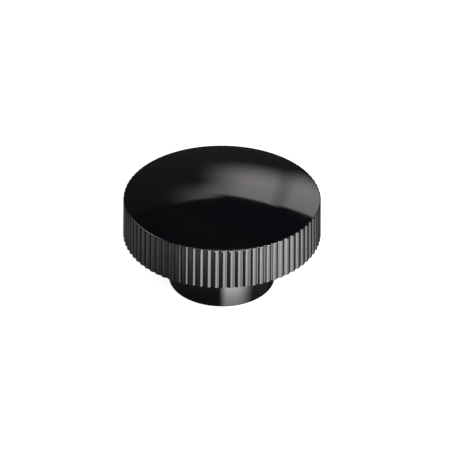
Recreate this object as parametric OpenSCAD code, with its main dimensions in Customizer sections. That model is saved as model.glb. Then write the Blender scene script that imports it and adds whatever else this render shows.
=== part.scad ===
// Knurled knob: a glossy thermoset moulding with a domed head, a straight-fluted rim and
// a plain hub, moulded round a brass insert that has a blind threaded hole.
// Millimetres, +Z up. The origin is the centre of the hub's lower face.

/* [Head] */
// Diameter over the flute crowns, at the lower edge of the rim
head_d = 50; // [46:0.5:70]
// Height of the rim, from its lower edge to where its wall would meet the dome
rim_h = 10.7; // [9:0.1:16]
// Rise of the dome above the top of the rim
dome_rise = 3; // [1.5:0.1:5]
// Draft of the rim's wall, in degrees
rim_draft = 1.2; // [0:0.1:2]
// Radius of the edge between the rim and the dome
edge_r = 0.5; // [0.3:0.05:1]

/* [Flutes] */
// Number of flutes round the rim
flute_count = 80; // [60:1:90]
// Depth of a flute below the crowns
flute_depth = 0.3; // [0.2:0.02:0.4]
// Radius of the hollow along the bottom of a flute
hollow_r = 0.36; // [0.2:0.02:0.5]
// Width of the strip of the wall that is left along each crown
land_w = 0.14; // [0.1:0.01:0.2]

/* [Hub] */
// Diameter of the hub at its lower face
hub_d = 27; // [24:0.5:30]
// Length of the hub below the rim
hub_h = 13.6; // [10:0.1:20]
// Draft of the hub's wall, in degrees
hub_draft = 1; // [0:0.1:2]
// Radius of the hub's lower edge
hub_edge_r = 0.4; // [0.2:0.05:1]

/* [Recess] */
// Thickness of the rim's wall outside the recess, at its lower edge
rim_wall = 4; // [3:0.1:5]
// Thickness of the head from the recess's ceiling to the top of the rim
head_wall = 4; // [3:0.1:5]
// Draft of the recess's outer wall, in degrees
recess_draft = 3; // [0:0.5:5]
// Radius of the fillets at the recess's ceiling
recess_fillet = 1.5; // [0.5:0.1:2]

/* [Insert] */
// Diameter of the insert over its knurl
insert_d = 14; // [12:0.5:18]
// Length of the insert
insert_l = 20; // [19:0.5:22]
// Length of the plain collar at the insert's mouth
collar_l = 2; // [1:0.1:3]
// Number of grooves in the insert's knurl
knurl_count = 32; // [24:1:36]
// Depth of those grooves
knurl_depth = 0.4; // [0.2:0.05:0.5]
// Height of the middle of the neck that keeps the insert from pulling out
neck_z = 11; // [8:0.5:14]
// Width of the neck
neck_w = 2; // [1:0.1:3]
// Depth of the neck
neck_depth = 1; // [0.6:0.1:1.5]
// Chamfer at the closed end of the insert
insert_chamfer = 0.6; // [0.2:0.1:1]

/* [Threaded hole] */
// Diameter of the hole's wall at the crests of its thread
core_d = 6.8; // [4.2:0.1:8.5]
// Depth of the hole's wall, from the insert's face to the drill point
hole_depth = 16; // [10:0.5:16.5]
// Width of the lead-in chamfer at the mouth
lead_in = 0.8; // [0.4:0.1:1.2]
// Whole angle of the drill point, in degrees
drill_angle = 118; // [90:1:140]

/* [Hidden] */

// Four facets to a flute, so that the wall's facets line up with the crowns
$fn = 4 * flute_count;
// Flats that stand for the arc of a flute's hollow, and for the arc from it to a crown
hollow_steps = 4;
crown_steps = 3;
// The dome's circle is large, and only a short arc of it is used
dome_facets = 1440;
// How far a cut runs past the face that it opens
over = 1;

rim_r = head_d / 2;
rim_z = hub_h;
rim_top_z = rim_z + rim_h;
hub_r = hub_d / 2;
insert_r = insert_d / 2;
core_r = core_d / 2;
ceiling_z = rim_top_z - head_wall;
drill_point = core_r / tan(drill_angle / 2);

// Angle at the axis from the middle of a flute to the middle of the next crown
crown_at = 180 / flute_count;
// Distance from the axis to the centre of a hollow's arc, at the lower edge of the rim
hollow_x = rim_r - flute_depth + hollow_r;
// Radius of a crown's arc, so that it meets the arc of the hollow without a corner
crown_r = (pow(rim_r, 2) + pow(hollow_x, 2) - pow(hollow_r, 2) - 2 * rim_r * hollow_x * cos(crown_at))
    / (2 * (rim_r - hollow_x * cos(crown_at) + hollow_r));

// Radius of the rim's wall, of the hub's wall and of the recess's outer wall at a height
function rim_wall_r(z) = rim_r - (z - rim_z) * tan(rim_draft);
function hub_wall_r(z) = hub_r + z * tan(hub_draft);
function recess_wall_r(z) = rim_r - rim_wall - (z - rim_z) * tan(recess_draft);

// The dome is part of a sphere that passes through the top of the rim's wall
dome_r = (pow(rim_wall_r(rim_top_z), 2) + pow(dome_rise, 2)) / (2 * dome_rise);
dome_centre = [0, rim_top_z + dome_rise - dome_r];

// Centre of the edge's arc, in section: it lies edge_r inside the wall and the dome alike
function edge_centre() =
    let (
        slope = tan(rim_draft),
        wall_at_0 = rim_wall_r(0) - edge_r / cos(rim_draft),
        half_b = wall_at_0 * slope + dome_centre.y,
        c = pow(wall_at_0, 2) + pow(dome_centre.y, 2) - pow(dome_r - edge_r, 2),
        a = 1 + pow(slope, 2),
        z = (half_b + sqrt(pow(half_b, 2) - a * c)) / a
    )
    [wall_at_0 - z * slope, z];

// Right half of the head's section: the rim's wall, the rounded edge and the dome
module head_section() {
    centre = edge_centre();
    to_dome = (centre - dome_centre) / norm(centre - dome_centre);
    intersection() {
        translate(dome_centre) circle(r = dome_r, $fn = dome_facets);
        polygon([
            [0, rim_z],
            [centre.x, rim_z],
            centre,
            centre + to_dome * (edge_r + over),
            [0, rim_top_z + dome_rise + over]
        ]);
    }
    translate(centre) circle(r = edge_r);
    polygon([
        [0, rim_z],
        [rim_r, rim_z],
        centre + edge_r * [cos(rim_draft), sin(rim_draft)],
        centre,
        [0, centre.y]
    ]);
}

// Right half of the hub's section, with its lower edge rounded
module hub_section() {
    centre = [hub_wall_r(hub_edge_r) - hub_edge_r / cos(hub_draft), hub_edge_r];
    translate(centre) circle(r = hub_edge_r);
    polygon([
        [0, 0],
        [centre.x, 0],
        centre,
        centre + hub_edge_r * [cos(hub_draft), -sin(hub_draft)],
        [hub_wall_r(ceiling_z), ceiling_z],
        [0, ceiling_z]
    ]);
}

// Section of the ring-shaped recess between the hub and the rim's wall
module recess_section() {
    fillet_z = ceiling_z - recess_fillet;
    inner = [hub_wall_r(fillet_z) + recess_fillet / cos(hub_draft), fillet_z];
    outer = [recess_wall_r(fillet_z) - recess_fillet / cos(recess_draft), fillet_z];
    translate(inner) circle(r = recess_fillet);
    translate(outer) circle(r = recess_fillet);
    polygon([
        [hub_wall_r(rim_z - over), rim_z - over],
        [recess_wall_r(rim_z - over), rim_z - over],
        outer + recess_fillet * [cos(recess_draft), sin(recess_draft)],
        outer,
        [outer.x, ceiling_z],
        [inner.x, ceiling_z],
        inner,
        inner + recess_fillet * [-cos(hub_draft), sin(hub_draft)]
    ]);
}

// Points along an arc, without its first one
function arc_points(centre, radius, from, to, steps) =
    [
        for (i = [1 : steps])
            let (a = from + i / steps * (to - from))
            centre + radius * [cos(a), sin(a)]
    ];

// Section across one flute, with x out of the rim's wall and y along it: the arc of the
// hollow runs into the arc of the crown on each side, which ends at the crown's land
function flute_section() =
    let (
        hollow = [hollow_x - rim_r, 0],
        crown = (rim_r - crown_r) * [cos(crown_at), sin(crown_at)] - [rim_r, 0],
        slope = atan2(crown.y, hollow.x - crown.x),
        land_at = crown_at - asin(land_w / 2 / crown_r),
        bottom = arc_points(hollow, hollow_r, 180, 180 - slope, hollow_steps / 2),
        side = arc_points(crown, crown_r, -slope, land_at, crown_steps),
        last = side[crown_steps - 1],
        before = side[crown_steps - 2],
        run_out = last + over / 2 * (last - before) / norm(last - before),
        half = concat(bottom, side, [run_out, [over, run_out.y]])
    )
    concat(
        [[-flute_depth, 0]],
        half,
        [for (i = [len(half) - 1 : -1 : 0]) [half[i].x, -half[i].y]]
    );

// The cut of one flute, which leans with the rim's wall and runs out through both ends
module flute() {
    translate([rim_r, 0, rim_z])
        rotate([0, -rim_draft, 0])
            translate([0, 0, -over])
                linear_extrude(height = rim_h + 2 * over)
                    polygon(flute_section());
}

module knob_body() {
    color("#17171a")
    difference() {
        rotate_extrude() {
            difference() {
                union() {
                    head_section();
                    hub_section();
                }
                recess_section();
            }
        }
        for (i = [0 : flute_count - 1]) {
            rotate(i * 360 / flute_count) flute();
        }
        insert_form();
    }
}

// Outer form of the insert, which the hub is moulded round
module insert_form() {
    neck_r = insert_r - neck_depth;
    difference() {
        rotate_extrude() {
            polygon([
                [0, 0],
                [insert_r, 0],
                [insert_r, neck_z - neck_w / 2],
                [neck_r, neck_z - neck_w / 2],
                [neck_r, neck_z + neck_w / 2],
                [insert_r, neck_z + neck_w / 2],
                [insert_r, insert_l - insert_chamfer],
                [insert_r - insert_chamfer, insert_l],
                [0, insert_l]
            ]);
        }
        for (i = [0 : knurl_count - 1]) {
            rotate(i * 360 / knurl_count) knurl_groove();
        }
    }
}

// The cut of one knurl groove: a right-angled V that stops at the collar
module knurl_groove() {
    translate([insert_r, 0, collar_l])
        linear_extrude(height = insert_l - collar_l + over)
            polygon([
                [-knurl_depth, 0],
                [over, -knurl_depth - over],
                [over, knurl_depth + over]
            ]);
}

module threaded_insert() {
    color("#c9a24b")
    difference() {
        insert_form();
        rotate_extrude() {
            polygon([
                [0, -over],
                [core_r + lead_in, -over],
                [core_r + lead_in, 0],
                [core_r, lead_in],
                [core_r, hole_depth],
                [0, hole_depth + drill_point]
            ]);
        }
    }
}

knob_body();
threaded_insert();
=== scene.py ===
"""Looks of a knurled knob: the moulded body, its threaded insert and the studio round them."""

import logging
import math
from dataclasses import dataclass, field
from enum import Enum

import bmesh
import bpy
from mathutils import Matrix, Vector


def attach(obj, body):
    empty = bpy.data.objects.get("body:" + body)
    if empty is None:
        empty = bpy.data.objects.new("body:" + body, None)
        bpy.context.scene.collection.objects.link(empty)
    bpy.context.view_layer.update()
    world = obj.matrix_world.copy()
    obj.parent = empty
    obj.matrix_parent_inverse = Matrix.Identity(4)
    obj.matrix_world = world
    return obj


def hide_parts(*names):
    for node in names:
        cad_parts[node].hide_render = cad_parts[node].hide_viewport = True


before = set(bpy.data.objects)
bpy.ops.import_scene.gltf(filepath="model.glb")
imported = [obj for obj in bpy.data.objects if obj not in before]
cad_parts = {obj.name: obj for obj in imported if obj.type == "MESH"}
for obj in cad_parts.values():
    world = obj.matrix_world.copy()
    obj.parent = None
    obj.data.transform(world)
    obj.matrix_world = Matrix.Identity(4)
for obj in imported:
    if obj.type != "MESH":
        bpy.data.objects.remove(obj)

LOG = logging.getLogger("knurled_knob")
MM = 0.001
TURN = 2 * math.pi
AXIS = Vector((0, 0, 1))
ORIGIN = Vector((0, 0, 0))
BODY = "root"
# Vertices closer together than this are merged
MERGE = 1e-7
# A vertex this close to a height or a radius counts as lying at it
NEAR = 1e-6


class Piece(Enum):
    """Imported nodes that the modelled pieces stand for."""

    KNOB_BODY = "knob_body"
    THREADED_INSERT = "threaded_insert"


class Slot(Enum):
    """Material slots that the pieces take their finish from."""

    BLACK_THERMOSET = "black_thermoset"
    BRASS = "brass"


class Ray(Enum):
    """Outputs of the Light Path node that the studio tells apart."""

    CAMERA = "Is Camera Ray"
    GLOSSY = "Is Glossy Ray"


class Graph:
    """A node tree with short calls to add its nodes and join them."""

    def __init__(self, owner: bpy.types.ID) -> None:
        """Empties the node tree of a material or a world.

        Args:
            owner: the material or world that holds the tree.
        """
        owner.use_nodes = True
        self.tree = owner.node_tree
        self.tree.nodes.clear()

    def add(self, kind: str, inputs: dict | None = None, **settings: object) -> bpy.types.Node:
        """Adds one node.

        Args:
            kind: the node's type name.
            inputs: for each input socket, the socket to join to it or its constant.
            settings: the node's own properties.

        Returns:
            The new node.
        """
        node = self.tree.nodes.new(kind)
        for name, value in settings.items():
            setattr(node, name, value)
        for key, value in (inputs or {}).items():
            if isinstance(value, bpy.types.NodeSocket):
                self.tree.links.new(value, node.inputs[key])
            else:
                node.inputs[key].default_value = value
        return node

    def math(self, operation: str, *values: object) -> bpy.types.NodeSocket:
        """Adds a Math node on one to three sockets or numbers and returns its result's socket."""
        return self.add("ShaderNodeMath", dict(enumerate(values)), operation=operation).outputs[0]

    def vector(self, operation: str, **inputs: object) -> bpy.types.NodeSocket:
        """Adds a Vector Math node.

        Args:
            operation: the node's operation.
            inputs: `first`, `second` and `scale`, as far as the operation has them.

        Returns:
            The resulting vector's socket.
        """
        sockets = {"first": 0, "second": 1, "scale": "Scale"}
        named = {sockets[name]: value for name, value in inputs.items()}
        return self.add("ShaderNodeVectorMath", named, operation=operation).outputs[0]

    def length(self, vector: object) -> bpy.types.NodeSocket:
        """Adds a node for a vector's length and returns its socket."""
        return self.add("ShaderNodeVectorMath", {0: vector}, operation="LENGTH").outputs["Value"]

    def turn(self, direction: object, azimuth: float) -> bpy.types.NodeSocket:
        """Turns a direction about the vertical, to bring an azimuth in degrees to the front."""
        inputs = {"Vector": direction, "Angle": -math.radians(azimuth)}
        return self.add("ShaderNodeVectorRotate", inputs, rotation_type="Z_AXIS").outputs[0]

    def ramp(self, value: object, span: tuple, to: tuple = (0.0, 1.0)) -> bpy.types.NodeSocket:
        """Maps a value smoothly from one span to another, and holds it at the ends.

        Args:
            value: the socket to map.
            span: the values where the ramp starts and ends.
            to: the results there.

        Returns:
            The result's socket.
        """
        (low, high), (first, last) = span, to
        inputs = {"Value": value, "From Min": low, "From Max": high, "To Min": first, "To Max": last}
        return self.add("ShaderNodeMapRange", inputs, interpolation_type="SMOOTHSTEP").outputs[0]

    def noise(self, place: object, size: float, detail: float) -> bpy.types.NodeSocket:
        """Lays noise on coordinates, with spots up to a size in metres and `detail` finer layers."""
        inputs = {"Vector": place, "Scale": 1 / size, "Detail": detail}
        return self.add("ShaderNodeTexNoise", inputs).outputs[0]

    def mix_colour(self, share: object, first: object, second: object) -> bpy.types.NodeSocket:
        """Mixes two colours.

        Args:
            share: how much of the second colour there is.
            first: the colour at a share of 0.
            second: the colour at a share of 1.

        Returns:
            The result's socket.
        """
        # The node has sockets for numbers and vectors too, so those of its colours come late
        factor, from_colour, to_colour, result = 0, 6, 7, 2
        inputs = {factor: share, from_colour: first, to_colour: second}
        return self.add("ShaderNodeMix", inputs, data_type="RGBA").outputs[result]

    def bump(self, height: object, depth: float, below: object | None = None) -> bpy.types.NodeSocket:
        """Adds a layer of bump.

        Args:
            height: the socket of the height, from 0 to 1.
            depth: what a height of 1 is, in metres.
            below: the normal's socket of the layer below it.

        Returns:
            The normal's socket.
        """
        inputs = {"Height": height, "Distance": depth}
        if below is not None:
            inputs["Normal"] = below
        return self.add("ShaderNodeBump", inputs).outputs[0]

    def output(self, kind: str, surface: bpy.types.NodeSocket) -> None:
        """Joins the last shader to the tree's output of that kind."""
        self.add(kind, {"Surface": surface})


def polar(radius: float, angle: float, z: float = 0.0) -> Vector:
    """Returns the point at a radius, an angle round the axis and a height."""
    return Vector((radius * math.cos(angle), radius * math.sin(angle), z))


def arc(centre: tuple, radius: float, start: float, end: float, steps: int) -> list:
    """Works out points along an arc in section.

    Args:
        centre: the radius and height of its centre.
        radius: its own radius.
        start: the angle of its first point above the horizontal, in degrees.
        end: the angle of its last point.
        steps: how many parts it has.

    Returns:
        The radius and height of each point, both ends included.
    """
    angles = [math.radians(start + (end - start) * i / steps) for i in range(steps + 1)]
    return [(centre[0] + radius * math.cos(a), centre[1] + radius * math.sin(a)) for a in angles]


def spin_section(bm: bmesh.types.BMesh, section: list, columns: int) -> list:
    """Spins a section round the axis into a skin and closes it where it meets the axis.

    Args:
        bm: the mesh that it is added to.
        section: the radius and height of each point.
        columns: how many parts a full turn has.

    Returns:
        The new vertices.
    """
    verts = [bm.verts.new((r, 0, z)) for r, z in section]
    edges = [bm.edges.new(pair) for pair in zip(verts, verts[1:])]
    known = set(bm.verts) - set(verts)
    bmesh.ops.spin(
        bm, geom=verts + edges, cent=ORIGIN, axis=AXIS, angle=TURN, steps=columns, use_merge=True
    )
    poles = [v for v in bm.verts if v not in known and v.co.xy.length < MERGE]
    bmesh.ops.remove_doubles(bm, verts=poles, dist=MERGE)
    return [v for v in bm.verts if v not in known]


def open_edges(bm: bmesh.types.BMesh, z: float, span: tuple) -> list:
    """Finds the open edges of a mesh at a height.

    Args:
        bm: the mesh.
        z: the height.
        span: the two radii that the edges' ends lie between.

    Returns:
        The edges.
    """
    inner, outer = span
    return [
        e for e in bm.edges
        if e.is_boundary and all(abs(v.co.z - z) < NEAR and inner < v.co.xy.length < outer for v in e.verts)
    ]


def raise_ring(bm: bmesh.types.BMesh, ring: list) -> tuple:
    """Extrudes a ring of edges in place, for its copy to be moved.

    Args:
        bm: the mesh.
        ring: the edges.

    Returns:
        The vertices and the edges of the new ring.
    """
    raised = bmesh.ops.extrude_edge_only(bm, edges=ring)["geom"]
    verts = [g for g in raised if isinstance(g, bmesh.types.BMVert)]
    edges = [g for g in raised if isinstance(g, bmesh.types.BMEdge)]
    return verts, edges


def put_in_scene(name: str, data: bpy.types.ID) -> bpy.types.Object:
    """Makes an object and links it to the scene.

    Args:
        name: the object's name.
        data: the mesh, lamp or camera that it holds.

    Returns:
        The object.
    """
    holder = bpy.data.objects.new(name, data)
    bpy.context.scene.collection.objects.link(holder)
    return holder


def to_object(bm: bmesh.types.BMesh, name: str) -> bpy.types.Object:
    """Makes an object of a mesh.

    Args:
        bm: the mesh, which is freed.
        name: the object's name.

    Returns:
        The object, which is in the scene.
    """
    mesh = bpy.data.meshes.new(name)
    bm.to_mesh(mesh)
    bm.free()
    return put_in_scene(name, mesh)


def to_piece(bm: bmesh.types.BMesh, name: str, sharp: float) -> bpy.types.Object:
    """Makes a smoothly shaded piece of a closed mesh.

    Args:
        bm: the closed mesh, which is freed.
        name: the piece's name.
        sharp: the angle in degrees from which an edge stays sharp.

    Returns:
        The piece, which has no finish yet.
    """
    bmesh.ops.recalc_face_normals(bm, faces=bm.faces)
    for edge in bm.edges:
        edge.smooth = edge.calc_face_angle(0) < math.radians(sharp)
    piece = to_object(bm, name)
    piece.data.shade_smooth()
    return piece


def dress(
    piece: bpy.types.Object, node: Piece, material: bpy.types.Material
) -> bpy.types.Object:
    """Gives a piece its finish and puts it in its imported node's place.

    Args:
        piece: the modelled piece.
        node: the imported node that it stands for.
        material: the finish.

    Returns:
        The same piece.
    """
    piece.data.materials.append(material)
    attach(piece, BODY)
    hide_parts(node.value)
    return piece


@dataclass(frozen=True)
class GlossThermoset:
    """Black phenolic moulding with a high gloss, faint flow marks and handling haze."""

    dark: tuple = (0.0012, 0.0014, 0.0020, 1)
    light: tuple = (0.0027, 0.0027, 0.0032, 1)
    ior: float = 1.58
    roughness: tuple = (0.035, 0.075)
    cloud_size: float = 14 * MM
    cloud_detail: float = 5
    cloud_span: tuple = (0.35, 0.7)
    haze_fineness: float = 3
    haze_detail: float = 6
    haze_span: tuple = (0.3, 0.8)
    relief_detail: float = 1
    wave_size: float = 16 * MM
    wave_depth: float = 0.014 * MM
    peel_size: float = 0.9 * MM
    peel_depth: float = 0.0006 * MM

    def material(self) -> bpy.types.Material:
        """Builds the finish.

        Returns:
            Its material.
        """
        material = bpy.data.materials.new(Slot.BLACK_THERMOSET.value)
        graph = Graph(material)
        place = graph.add("ShaderNodeTexCoord").outputs["Object"]
        clouds = graph.noise(place, self.cloud_size, self.cloud_detail)
        colour = graph.mix_colour(graph.ramp(clouds, self.cloud_span), self.dark, self.light)
        smears = graph.noise(place, self.cloud_size / self.haze_fineness, self.haze_detail)
        haze = graph.ramp(smears, self.haze_span, self.roughness)
        waves = graph.bump(graph.noise(place, self.wave_size, self.relief_detail), self.wave_depth)
        peel = graph.bump(graph.noise(place, self.peel_size, self.relief_detail), self.peel_depth, waves)
        shader = graph.add(
            "ShaderNodeBsdfPrincipled",
            {"Base Color": colour, "Roughness": haze, "IOR": self.ior, "Normal": peel},
        )
        graph.output("ShaderNodeOutputMaterial", shader.outputs[0])
        return material


@dataclass(frozen=True)
class TurnedBrass:
    """Brass turned on a lathe: fine rings from the tool, uneven cuts and a light tarnish."""

    clean: tuple = (0.74, 0.54, 0.25, 1)
    tarnished: tuple = (0.60, 0.42, 0.19, 1)
    tarnish_span: tuple = (0.45, 1.0)
    roughness: tuple = (0.28, 0.42)
    roughness_span: tuple = (0.5, 0.9)
    detail: float = 3
    cloud_size: float = 2.5 * MM
    ring_pitch: float = 0.12 * MM
    ring_depth: float = 0.003 * MM
    cut_size: float = 0.5 * MM
    cut_depth: float = 0.012 * MM
    cut_share: float = 0.4

    def material(self) -> bpy.types.Material:
        """Builds the finish.

        Returns:
            Its material.
        """
        material = bpy.data.materials.new(Slot.BRASS.value)
        graph = Graph(material)
        place = graph.add("ShaderNodeTexCoord").outputs["Object"]
        flat = graph.vector("MULTIPLY", first=place, second=(1, 1, 0))
        radius = graph.length(flat)
        height = graph.add("ShaderNodeSeparateXYZ", {0: place}).outputs["Z"]
        across = graph.add("ShaderNodeCombineXYZ", {"X": radius, "Y": height}).outputs[0]
        cuts = graph.noise(across, self.cut_size, self.detail)
        spots = graph.noise(place, self.cloud_size, self.detail)
        clouds = graph.math("ADD", spots, graph.math("MULTIPLY", cuts, self.cut_share))
        colour = graph.mix_colour(graph.ramp(clouds, self.tarnish_span), self.clean, self.tarnished)
        rough = graph.ramp(clouds, self.roughness_span, self.roughness)
        rings = graph.math("SINE", graph.math("MULTIPLY", radius, TURN / self.ring_pitch))
        uneven = graph.bump(cuts, self.cut_depth)
        normal = graph.bump(graph.ramp(rings, (-1.0, 1.0)), self.ring_depth, uneven)
        shader = graph.add(
            "ShaderNodeBsdfPrincipled",
            {"Base Color": colour, "Roughness": rough, "Metallic": 1.0, "Normal": normal},
        )
        graph.output("ShaderNodeOutputMaterial", shader.outputs[0])
        return material


@dataclass(frozen=True)
class InsertForm:
    """Outer form of the insert, which is also the space that the hub is moulded round."""

    diameter: float = 14 * MM
    length: float = 20 * MM
    collar: float = 2 * MM
    knurl_count: int = 32
    knurl_depth: float = 0.4 * MM
    knurl_columns: int = 10
    knurl_runout: float = 0.05 * MM
    neck_z: float = 11 * MM
    neck_w: float = 2 * MM
    neck_depth: float = 1 * MM
    chamfer: float = 0.6 * MM

    @property
    def radius(self) -> float:
        """Radius over the knurl."""
        return self.diameter / 2

    @property
    def columns(self) -> int:
        """Parts in a full turn, so that each knurl groove has whole ones."""
        return self.knurl_count * self.knurl_columns

    def section(self) -> list:
        """Works out the section from the mouth's edge to the middle of the closed end.

        Returns:
            The radius and height of each point.
        """
        neck_r = self.radius - self.neck_depth
        low, high = self.neck_z - self.neck_w / 2, self.neck_z + self.neck_w / 2
        return [
            (self.radius, 0),
            (self.radius, self.collar),
            (self.radius, self.collar + self.knurl_runout),
            (self.radius, low),
            (neck_r, low),
            (neck_r, high),
            (self.radius, high),
            (self.radius, self.length - self.chamfer),
            (self.radius - self.chamfer, self.length),
            (0, self.length),
        ]

    def cut_knurl(self, verts: list) -> None:
        """Draws in the vertices that lie in a knurl groove.

        Args:
            verts: the vertices of the spun section.
        """
        pitch = TURN / self.knurl_count
        for vert in verts:
            radius = vert.co.xy.length
            if vert.co.z <= self.collar + MERGE or radius < NEAR:
                continue
            angle = math.atan2(vert.co.y, vert.co.x)
            off_centre = abs(angle - round(angle / pitch) * pitch) * self.radius
            floor = self.radius - max(self.knurl_depth - off_centre, 0)
            if radius > floor:
                vert.co.xy *= floor / radius


@dataclass(frozen=True)
class KnobBody:
    """The one-piece moulding: domed head, fluted rim, recess under the head and hub."""

    insert: InsertForm
    head_d: float = 50 * MM
    rim_h: float = 10.7 * MM
    dome_rise: float = 3 * MM
    rim_draft: float = 1.2
    edge_r: float = 0.5 * MM
    foot_break: float = 0.05 * MM
    flute_count: int = 80
    flute_depth: float = 0.3 * MM
    hollow_r: float = 0.36 * MM
    hub_d: float = 27 * MM
    hub_h: float = 13.6 * MM
    hub_draft: float = 1
    hub_edge_r: float = 0.4 * MM
    rim_wall: float = 4 * MM
    head_wall: float = 4 * MM
    recess_draft: float = 3
    recess_fillet: float = 1.5 * MM
    hollow_steps: int = 4
    crown_steps: int = 6
    fillet_steps: int = 6
    hub_edge_steps: int = 5
    foot_row: float = 0.12 * MM
    wall_rows: int = 3
    edge_rows: int = 14
    dome_rows: int = 18
    sharp: float = 35

    @property
    def rim_r(self) -> float:
        """Radius over the crowns at the lower edge of the rim."""
        return self.head_d / 2

    @property
    def rim_top(self) -> float:
        """Height where the rim's wall would meet the dome."""
        return self.hub_h + self.rim_h

    @property
    def dome_r(self) -> float:
        """Radius of the sphere that the dome is part of."""
        return (self.wall_r(self.rim_top) ** 2 + self.dome_rise**2) / (2 * self.dome_rise)

    @property
    def dome_z(self) -> float:
        """Height of that sphere's centre."""
        return self.rim_top + self.dome_rise - self.dome_r

    def wall_r(self, z: float) -> float:
        """Returns the radius of the rim's wall at a height."""
        return self.rim_r - (z - self.hub_h) * math.tan(math.radians(self.rim_draft))

    def hub_r(self, z: float) -> float:
        """Returns the radius of the hub's wall at a height."""
        return self.hub_d / 2 + z * math.tan(math.radians(self.hub_draft))

    def recess_r(self, z: float) -> float:
        """Returns the radius of the recess's outer wall at a height."""
        return self.rim_r - self.rim_wall - (z - self.hub_h) * math.tan(math.radians(self.recess_draft))

    def edge_centre(self) -> tuple:
        """Works out the centre of the arc between the rim's wall and the dome, in section.

        Returns:
            Its radius and height.
        """
        draft = math.radians(self.rim_draft)
        wall = self.wall_r(0) - self.edge_r / math.cos(draft)
        half_b = wall * math.tan(draft) + self.dome_z
        c = wall**2 + self.dome_z**2 - (self.dome_r - self.edge_r) ** 2
        a = 1 + math.tan(draft) ** 2
        z = (half_b + math.sqrt(half_b**2 - a * c)) / a
        return wall - z * math.tan(draft), z

    def skin(self) -> list:
        """Works out the rows of the head's skin, from just above its foot to the last below its top.

        Returns:
            The radius and height of each row.
        """
        centre = self.edge_centre()
        lean = math.degrees(math.atan2(centre[1] - self.dome_z, centre[0]))
        edge = arc(centre, self.edge_r, self.rim_draft, lean, self.edge_rows)
        dome = arc((0, self.dome_z), self.dome_r, lean, 90, self.dome_rows)
        foot = self.hub_h + self.foot_break
        row = foot + self.foot_row
        rise = (edge[0][1] - row) / self.wall_rows
        heights = [foot] + [row + rise * i for i in range(self.wall_rows)]
        return [(self.wall_r(z), z) for z in heights] + edge + dome[1:-1]

    def flute(self) -> list:
        """Works out the section across one flute: the hollow's arc between two halves of crowns.

        Returns:
            The radius of each point and its angle from the flute's middle, from one crown's top
            up to the last point before the next.
        """
        half = TURN / self.flute_count / 2
        hollow_x = self.rim_r - self.flute_depth + self.hollow_r
        reach = hollow_x * math.cos(half)
        crown_r = self.rim_r**2 + hollow_x**2 - self.hollow_r**2 - 2 * self.rim_r * reach
        crown_r /= 2 * (self.rim_r - reach + self.hollow_r)
        crown = polar(self.rim_r - crown_r, half)
        slope = math.atan2(crown.y, hollow_x - crown.x)
        turned = [half - (half + slope) * i / self.crown_steps for i in range(self.crown_steps)]
        sunk = [slope * (1 - i / self.hollow_steps) for i in range(self.hollow_steps)]
        side = [crown + polar(crown_r, a) for a in turned]
        hollow = Vector((hollow_x, 0, 0))
        side += [hollow + self.hollow_r * Vector((-math.cos(a), math.sin(a), 0)) for a in sunk]
        far = [(p.xy.length, math.atan2(p.y, p.x)) for p in side]
        middle = (self.rim_r - self.flute_depth, 0.0)
        return [(r, -a) for r, a in far] + [middle] + [(r, a) for r, a in reversed(far[1:])]

    def outline(self, bm: bmesh.types.BMesh) -> list:
        """Draws the fluted outline at the rim's foot.

        Args:
            bm: the mesh that it is added to.

        Returns:
            Its vertices.
        """
        flute = self.flute()
        count = self.flute_count * len(flute)
        verts = bmesh.ops.create_circle(bm, radius=self.rim_r, segments=count)["verts"]
        for vert in verts:
            index = round(math.atan2(vert.co.y, vert.co.x) % TURN / TURN * count) % count
            place, point = divmod(index, len(flute))
            radius, offset = flute[point]
            vert.co = polar(radius, place * TURN / self.flute_count + offset, self.hub_h)
        return verts

    def build_head(self, bm: bmesh.types.BMesh) -> None:
        """Raises the fluted outline row by row to the dome's top, so that the flutes run out on the way.

        Args:
            bm: the mesh that it is added to.
        """
        cut = bm.verts.layers.float.new("flute")
        foot = self.outline(bm)
        for vert in foot:
            vert[cut] = self.rim_r - vert.co.xy.length
            vert.co.xy *= 1 - self.foot_break / self.rim_r
        ring = list(dict.fromkeys(edge for vert in foot for edge in vert.link_edges))
        for radius, z in self.skin():
            row, ring = raise_ring(bm, ring)
            for vert in row:
                reach = min(radius, self.wall_r(z) - vert[cut])
                vert.co.xy *= reach / vert.co.xy.length
                vert.co.z = z
        last_row, _ = raise_ring(bm, ring)
        bmesh.ops.pointmerge(bm, verts=last_row, merge_co=(0, 0, self.dome_z + self.dome_r))

    def under_section(self) -> list:
        """Works out the section from the recess's mouth over its ceiling, down the hub and into it.

        Returns:
            The radius and height of each point.
        """
        fillet_z = self.rim_top - self.head_wall - self.recess_fillet
        recess_cos = math.cos(math.radians(self.recess_draft))
        hub_cos = math.cos(math.radians(self.hub_draft))
        outer = (self.recess_r(fillet_z) - self.recess_fillet / recess_cos, fillet_z)
        inner = (self.hub_r(fillet_z) + self.recess_fillet / hub_cos, fillet_z)
        edge = (self.hub_r(self.hub_edge_r) - self.hub_edge_r / hub_cos, self.hub_edge_r)
        return [
            (self.recess_r(self.hub_h), self.hub_h),
            *arc(outer, self.recess_fillet, self.recess_draft, 90, self.fillet_steps),
            *arc(inner, self.recess_fillet, 90, 180 - self.hub_draft, self.fillet_steps),
            (self.hub_r(self.hub_h), self.hub_h),
            (self.hub_r(self.hub_h / 2), self.hub_h / 2),
            *arc(edge, self.hub_edge_r, -self.hub_draft, -90, self.hub_edge_steps),
            ((edge[0] + self.insert.radius) / 2, 0),
            *self.insert.section(),
        ]

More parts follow.
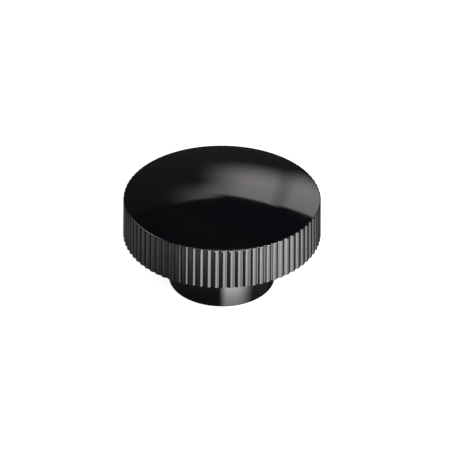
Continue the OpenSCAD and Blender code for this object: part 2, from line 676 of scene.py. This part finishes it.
    def build(self, finish: GlossThermoset) -> bpy.types.Object:
        """Models the moulding and dresses it.

        Args:
            finish: what it is made of.

        Returns:
            The piece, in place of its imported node.
        """
        bm = bmesh.new()
        under = spin_section(bm, self.under_section(), self.insert.columns)
        self.insert.cut_knurl([v for v in under if v.co.xy.length < self.insert.radius + NEAR])
        self.build_head(bm)
        foot = open_edges(bm, self.hub_h, (self.rim_r - 2 * self.rim_wall, 2 * self.rim_r))
        bmesh.ops.bridge_loops(bm, edges=foot)
        piece = to_piece(bm, Piece.KNOB_BODY.value + "_moulding", self.sharp)
        weigh = piece.modifiers.new("weighted_normals", "WEIGHTED_NORMAL")
        weigh.keep_sharp = True
        return dress(piece, Piece.KNOB_BODY, finish.material())


@dataclass(frozen=True)
class ThreadedInsert:
    """The brass insert with its blind hole and the right-hand thread cut in it."""

    form: InsertForm
    core_d: float = 6.8 * MM
    major_d: float = 8 * MM
    pitch: float = 1.25 * MM
    thread_length: float = 13.5 * MM
    hole_depth: float = 16 * MM
    lead_in: float = 0.8 * MM
    drill_angle: float = 118
    flank_half_angle: float = 30
    root_share: float = 0.125
    spare_turns: int = 1
    weld: float = 0.0125 * MM
    columns: int = 128
    sharp: float = 25

    def bore_r(self, radius: float, z: float) -> float:
        """Works out where the hole's wall lies, with the thread's run-out and the lead-in.

        Args:
            radius: the radius that the thread's own section has there.
            z: the height.

        Returns:
            The radius of the hole's wall.
        """
        core = self.core_d / 2
        share = min(max((self.thread_length - z) / self.pitch, 0), 1)
        return max(core + (radius - core) * share, core + self.lead_in - z)

    def build_thread(self, bm: bmesh.types.BMesh) -> None:
        """Winds the thread's section up the hole and trims it at both ends.

        Args:
            bm: the mesh that it is added to.
        """
        core, major = self.core_d / 2, self.major_d / 2
        flank = (major - core) * math.tan(math.radians(self.flank_half_angle))
        root = self.pitch * self.root_share
        turns = math.ceil(self.thread_length / self.pitch) + 2 * self.spare_turns
        section = []
        for i in range(turns):
            z = (i - self.spare_turns) * self.pitch
            section += [(core, z), (major, z + flank)]
            section += [(major, z + flank + root), (core, z + 2 * flank + root)]
        verts = [bm.verts.new((r, 0, z)) for r, z in section]
        edges = [bm.edges.new(pair) for pair in zip(verts, verts[1:])]
        step = Vector((0, 0, self.pitch / self.columns))
        bmesh.ops.spin(
            bm, geom=verts + edges, cent=ORIGIN, axis=AXIS, dvec=step, angle=TURN, steps=self.columns
        )
        bmesh.ops.remove_doubles(bm, verts=bm.verts, dist=self.weld)
        for vert in bm.verts:
            radius = vert.co.xy.length
            vert.co.xy *= self.bore_r(radius, vert.co.z) / radius
        for z, up in ((0, -1), (self.thread_length, 1)):
            geom = bm.verts[:] + bm.edges[:] + bm.faces[:]
            bmesh.ops.bisect_plane(
                bm, geom=geom, dist=MERGE, plane_co=(0, 0, z), plane_no=(0, 0, up), clear_outer=True
            )

    def build(self, finish: TurnedBrass) -> bpy.types.Object:
        """Models the insert and dresses it.

        Args:
            finish: what it is made of.

        Returns:
            The piece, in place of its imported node.
        """
        bm = bmesh.new()
        self.build_thread(bm)
        row, ring = raise_ring(bm, open_edges(bm, self.thread_length, (0, self.major_d)))
        for vert in row:
            vert.co.z = self.hole_depth
        last_row, _ = raise_ring(bm, ring)
        drill_point = self.core_d / 2 / math.tan(math.radians(self.drill_angle / 2))
        bmesh.ops.pointmerge(bm, verts=last_row, merge_co=(0, 0, self.hole_depth + drill_point))
        outside = spin_section(bm, self.form.section(), self.form.columns)
        self.form.cut_knurl(outside)
        mouth = open_edges(bm, 0, (0, 2 * self.form.radius))
        bmesh.ops.triangle_fill(bm, use_beauty=True, edges=mouth, normal=-AXIS)
        piece = to_piece(bm, Piece.THREADED_INSERT.value + "_turned", self.sharp)
        return dress(piece, Piece.THREADED_INSERT, finish.material())


def bearing(azimuth: float, elevation: float) -> Vector:
    """Works out the direction from the knob to a place in the studio's round.

    Args:
        azimuth: its angle to the right from the front, in degrees.
        elevation: its angle up from the horizon, in degrees.

    Returns:
        The direction, with a length of 1.
    """
    around, up = math.radians(azimuth), math.radians(elevation)
    return Vector((math.sin(around) * math.cos(up), -math.cos(around) * math.cos(up), math.sin(up)))


@dataclass(frozen=True)
class SoftPanel:
    """A soft panel of light that only gloss shows, given by its place in the studio's round.

    Azimuths run to the right from the view's own side, elevations up from the horizon, in degrees.
    The panel's left and right sides lean to the right by the shares `lean` of the way up from its
    middle, and its lower and upper edges rise to the right by the share `rise` of the way across.
    Its left, right, lower and upper edges fade out over the angles `soft` to either side of them.
    """

    azimuth: float
    elevation: float
    half_width: float
    half_height: float
    level: float
    soft: tuple = (4, 4, 4, 4)
    lean: tuple = (0.0, 0.0)
    rise: float = 0.0
    tint: tuple = (1, 1, 1)

    def light(self, graph: Graph, direction: bpy.types.NodeSocket) -> bpy.types.NodeSocket:
        """Adds the panel to the world's tree.

        Args:
            graph: the world's tree.
            direction: the socket of the direction looked in.

        Returns:
            The socket of the panel's light.
        """
        parts = graph.add("ShaderNodeSeparateXYZ", {0: graph.turn(direction, self.azimuth)}).outputs
        forward = graph.math("MULTIPLY", parts["Y"], -1.0)
        above = graph.math("DEGREES", graph.math("ARCSINE", parts["Z"]))
        around = graph.math("DEGREES", graph.math("ARCTAN2", parts["X"], forward))
        raised = graph.math("SUBTRACT", above, self.elevation)
        across = [graph.math("MULTIPLY_ADD", raised, -lean, around) for lean in self.lean]
        above = graph.math("MULTIPLY_ADD", around, -self.rise, above)
        bottom, top = self.elevation - self.half_height, self.elevation + self.half_height
        left, right, low, high = self.soft
        fading = (1.0, 0.0)
        sides = [
            graph.ramp(across[0], (-self.half_width - left, -self.half_width + left)),
            graph.ramp(across[1], (self.half_width - right, self.half_width + right), fading),
            graph.ramp(above, (bottom - low, bottom + low)),
            graph.ramp(above, (top - high, top + high), fading),
        ]
        light = self.level
        for side in sides:
            light = graph.math("MULTIPLY", side, light)
        return graph.vector("SCALE", first=self.tint, scale=light)


def studio_panels() -> tuple:
    """Lists the soft panels that gloss shows.

    Returns:
        The panels.
    """
    cool, rose = (0.99, 0.99, 1.03), (1.05, 0.95, 1.02)
    # Two lamps behind, which the dome shows, with a dimmer one beside them and a faint glow below
    dome_lamps = (
        SoftPanel(
            azimuth=174.1, elevation=30.1, half_width=5.5, half_height=7.5, level=1.62,
            soft=(2, 5.5, 6.5, 0.5), lean=(-0.13, 0.08), rise=-0.2, tint=(1.05, 0.98, 1.0),
        ),
        SoftPanel(
            azimuth=154.4, elevation=29.75, half_width=13.3, half_height=8.35, level=1.67,
            soft=(8, 2, 6.5, 0.5), lean=(0.3, -0.13), tint=(1.02, 0.98, 1.01),
        ),
        SoftPanel(
            azimuth=184.15, elevation=35.5, half_width=3.35, half_height=2.65, level=0.7,
            soft=(2.5, 6, 5, 0.5), rise=0.1, tint=(1.08, 0.96, 1.0),
        ),
        SoftPanel(
            azimuth=165, elevation=18, half_width=45, half_height=20, level=0.03,
            soft=(10, 20, 6, 1.3), tint=(1.1, 0.95, 1.05),
        ),
    )
    # Light from below the horizon, to the right and behind, which the flutes show
    right_lamps = (
        SoftPanel(
            azimuth=34, elevation=-20, half_width=23, half_height=12.1, level=6.9,
            soft=(5, 22, 1.15, 4), tint=cool,
        ),
        SoftPanel(
            azimuth=76, elevation=-20, half_width=15, half_height=13, level=2.9,
            soft=(12, 9, 1.3, 4), tint=cool,
        ),
        SoftPanel(
            azimuth=178, elevation=-22, half_width=38, half_height=12, level=0.5,
            soft=(7, 10, 2.5, 4),
        ),
    )
    # Light from lower down, which the hub shows
    hub_lamps = (
        SoftPanel(
            azimuth=28, elevation=-40, half_width=24.5, half_height=7, level=7.9,
            soft=(10, 23, 3, 4), tint=cool,
        ),
        SoftPanel(
            azimuth=80, elevation=-40, half_width=40, half_height=7, level=0.25,
            soft=(15, 15, 3, 4),
        ),
        SoftPanel(
            azimuth=-70, elevation=-40, half_width=70, half_height=7, level=0.1,
            soft=(15, 10, 3, 4),
        ),
    )
    # Light from below the horizon, to the left, which the flutes show
    left_lamps = (
        SoftPanel(
            azimuth=-63, elevation=-21, half_width=24, half_height=11, level=0.8,
            soft=(10, 8, 0.6, 4), rise=0.012, tint=rose,
        ),
        SoftPanel(
            azimuth=-24, elevation=-21, half_width=26, half_height=10.8, level=0.45,
            soft=(9, 4, 0.6, 4), tint=rose,
        ),
    )
    # Weak lamps near the horizon, by which the flutes can be read from the knob's own height
    level_lamps = (
        SoftPanel(
            azimuth=-42, elevation=0.5, half_width=27, half_height=5.5, level=1.8,
            soft=(8, 15, 4, 2),
        ),
        SoftPanel(
            azimuth=105, elevation=0.5, half_width=20, half_height=5.5, level=0.3,
            soft=(6, 10, 4, 2),
        ),
    )
    # Lamps higher up: behind on the left, in front for the rounded edge, at both sides and overhead
    high_lamps = (
        SoftPanel(
            azimuth=-118, elevation=45, half_width=25, half_height=12, level=3.0,
            soft=(6, 6, 4, 4),
        ),
        SoftPanel(
            azimuth=28, elevation=20, half_width=38, half_height=4.5, level=60,
            soft=(8, 8, 3, 3),
        ),
        SoftPanel(
            azimuth=-48, elevation=42, half_width=28, half_height=13, level=0.7,
            soft=(12, 12, 9, 6),
        ),
        SoftPanel(
            azimuth=88, elevation=42, half_width=28, half_height=13, level=0.7,
            soft=(12, 12, 9, 6),
        ),
        SoftPanel(
            azimuth=0, elevation=90, half_width=360, half_height=20, level=2.0,
            soft=(4, 4, 10, 4),
        ),
    )
    # Light from straight below, which the underside shows
    under_lamps = (
        SoftPanel(
            azimuth=0, elevation=-90, half_width=360, half_height=30, level=1.2,
            soft=(4, 4, 4, 8),
        ),
    )
    return dome_lamps + right_lamps + hub_lamps + left_lamps + level_lamps + high_lamps + under_lamps


@dataclass(frozen=True)
class SoftBox:
    """A square lamp with a soft face, aimed at the knob."""

    name: str
    azimuth: float
    elevation: float
    distance: float
    size: float
    power: float

    def build(self, target: Vector, heading: float) -> None:
        """Hangs the lamp up.

        Args:
            target: the point that it shines on.
            heading: how far the studio is turned round the knob, in degrees.
        """
        lamp = bpy.data.lights.new(self.name, "AREA")
        lamp.size = self.size
        lamp.energy = self.power
        holder = put_in_scene(self.name, lamp)
        away = bearing(self.azimuth + heading, self.elevation)
        holder.location = target + away * self.distance
        holder.rotation_mode = "QUATERNION"
        holder.rotation_quaternion = away.to_track_quat("Z", "Y")
        holder.visible_camera = False
        holder.visible_glossy = False


@dataclass(frozen=True)
class Studio:
    """The pale floor, the white surroundings, the soft light and the camera."""

    target: Vector = field(default_factory=lambda: Vector((0, 0, 12 * MM)))
    floor_size: float = 3.0
    floor_colour: tuple = (0.45, 0.45, 0.45, 1)
    floor_glow: float = 0.85
    ambient: float = 0.45
    surround: float = 0.025
    below: float = 0.03
    horizon: tuple = (-0.1, 0.1)
    contact_r: tuple = (14 * MM, 24 * MM)
    contact_sides: int = 64
    contact_depth: float = 0.05 * MM
    contact_shade: float = 0.4
    gloss_tint: tuple = (0.9, 1.0, 1.2)
    heading: float = 1.68
    camera_elevation: float = 33.35
    camera_distance: float = 0.7
    camera_roll: float = 0.37
    lens: float = 221.23
    aim_right: float = 0.761 * MM
    aim_up: float = 3.22 * MM
    boxes: tuple = (SoftBox("key_box", azimuth=36, elevation=27, distance=1.0, size=0.5, power=11.0),)
    panels: tuple = field(default_factory=studio_panels)

    def build_floor(self) -> None:
        """Lays the floor, which takes the knob's shadow and isn't seen from below or in gloss."""
        bm = bmesh.new()
        bmesh.ops.create_grid(bm, x_segments=1, y_segments=1, size=self.floor_size / 2)
        floor = to_object(bm, "floor")
        floor.visible_glossy = False
        material = bpy.data.materials.new("pale_floor")
        graph = Graph(material)
        path = graph.add("ShaderNodeLightPath").outputs
        back = graph.add("ShaderNodeNewGeometry").outputs["Backfacing"]
        matt = graph.add("ShaderNodeBsdfDiffuse", {"Color": self.floor_colour}).outputs[0]
        glow = graph.math("MULTIPLY", path[Ray.CAMERA.value], self.floor_glow)
        lit = graph.add("ShaderNodeEmission", {"Strength": glow}).outputs[0]
        face = graph.add("ShaderNodeAddShader", {0: matt, 1: lit}).outputs[0]
        clear = graph.add("ShaderNodeBsdfTransparent").outputs[0]
        through = graph.math("MULTIPLY", back, path[Ray.CAMERA.value])
        surface = graph.add("ShaderNodeMixShader", {0: through, 1: face, 2: clear}).outputs[0]
        graph.output("ShaderNodeOutputMaterial", surface)
        floor.data.materials.append(material)

    def build_contact(self) -> None:
        """Darkens what gloss shows of the floor round the hub's foot, where the knob shades it."""
        bm = bmesh.new()
        bmesh.ops.create_circle(bm, cap_ends=True, segments=self.contact_sides, radius=self.contact_r[1])
        shade = to_object(bm, "contact_shade")
        shade.location.z = -self.contact_depth
        shade.visible_camera = False
        shade.visible_diffuse = False
        shade.visible_transmission = False
        shade.visible_shadow = False
        material = bpy.data.materials.new("contact_shade")
        graph = Graph(material)
        place = graph.add("ShaderNodeTexCoord").outputs["Object"]
        level = graph.ramp(graph.length(place), self.contact_r, (self.contact_shade, 1.0))
        clear = graph.add("ShaderNodeBsdfTransparent", {"Color": level}).outputs[0]
        graph.output("ShaderNodeOutputMaterial", clear)
        shade.data.materials.append(material)

    def build_world(self) -> None:
        """Surrounds the knob: white to the camera, plain to matt surfaces, dark with panels to gloss."""
        world = bpy.data.worlds.new("studio")
        bpy.context.scene.world = world
        graph = Graph(world)
        path = graph.add("ShaderNodeLightPath").outputs
        direction = graph.turn(graph.add("ShaderNodeTexCoord").outputs["Generated"], self.heading)
        height = graph.add("ShaderNodeSeparateXYZ", {0: direction}).outputs["Z"]
        level = graph.ramp(height, self.horizon, (self.below, self.surround))
        gloss = graph.vector("SCALE", first=self.gloss_tint, scale=level)
        for panel in self.panels:
            gloss = graph.vector("ADD", first=gloss, second=panel.light(graph, direction))
        camera = path[Ray.CAMERA.value]
        level = graph.math("ADD", self.ambient, graph.math("MULTIPLY", camera, 1 - self.ambient))
        colour = graph.mix_colour(path[Ray.GLOSSY.value], level, gloss)
        shader = graph.add("ShaderNodeBackground", {"Color": colour})
        graph.output("ShaderNodeOutputWorld", shader.outputs[0])
        world.cycles.sampling_method = "NONE"

    def build_camera(self) -> None:
        """Sets the camera up, aimed a little off the knob's middle as the framing asks."""
        data = bpy.data.cameras.new("camera")
        data.lens = self.lens
        camera = put_in_scene("camera", data)
        bpy.context.scene.camera = camera
        away = bearing(self.heading, self.camera_elevation)
        place = self.target + away * self.camera_distance
        aside = away.to_track_quat("Z", "Y") @ Vector((self.aim_right, self.aim_up, 0))
        turned = (place - (self.target + aside)).to_track_quat("Z", "Y").to_matrix().to_4x4()
        rolled = Matrix.Rotation(math.radians(self.camera_roll), 4, "Z")
        camera.matrix_world = Matrix.Translation(place) @ turned @ rolled

    def build(self) -> None:
        """Sets up the whole studio."""
        bpy.context.scene.view_settings.view_transform = "Standard"
        self.build_floor()
        self.build_contact()
        self.build_world()
        for box in self.boxes:
            box.build(self.target, self.heading)
        self.build_camera()


def main() -> None:
    """Builds the pieces and the studio, and reports each piece's triangle count."""
    logging.basicConfig(level=logging.INFO, format="%(name)s: %(message)s")
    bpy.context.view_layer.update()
    form = InsertForm()
    pieces = [KnobBody(form).build(GlossThermoset()), ThreadedInsert(form).build(TurnedBrass())]
    for piece in pieces:
        triangles = sum(len(face.vertices) - 2 for face in piece.data.polygons)
        LOG.info("%s: %d triangles", piece.name, triangles)
    Studio().build()


if __name__ == "__main__":
    main()
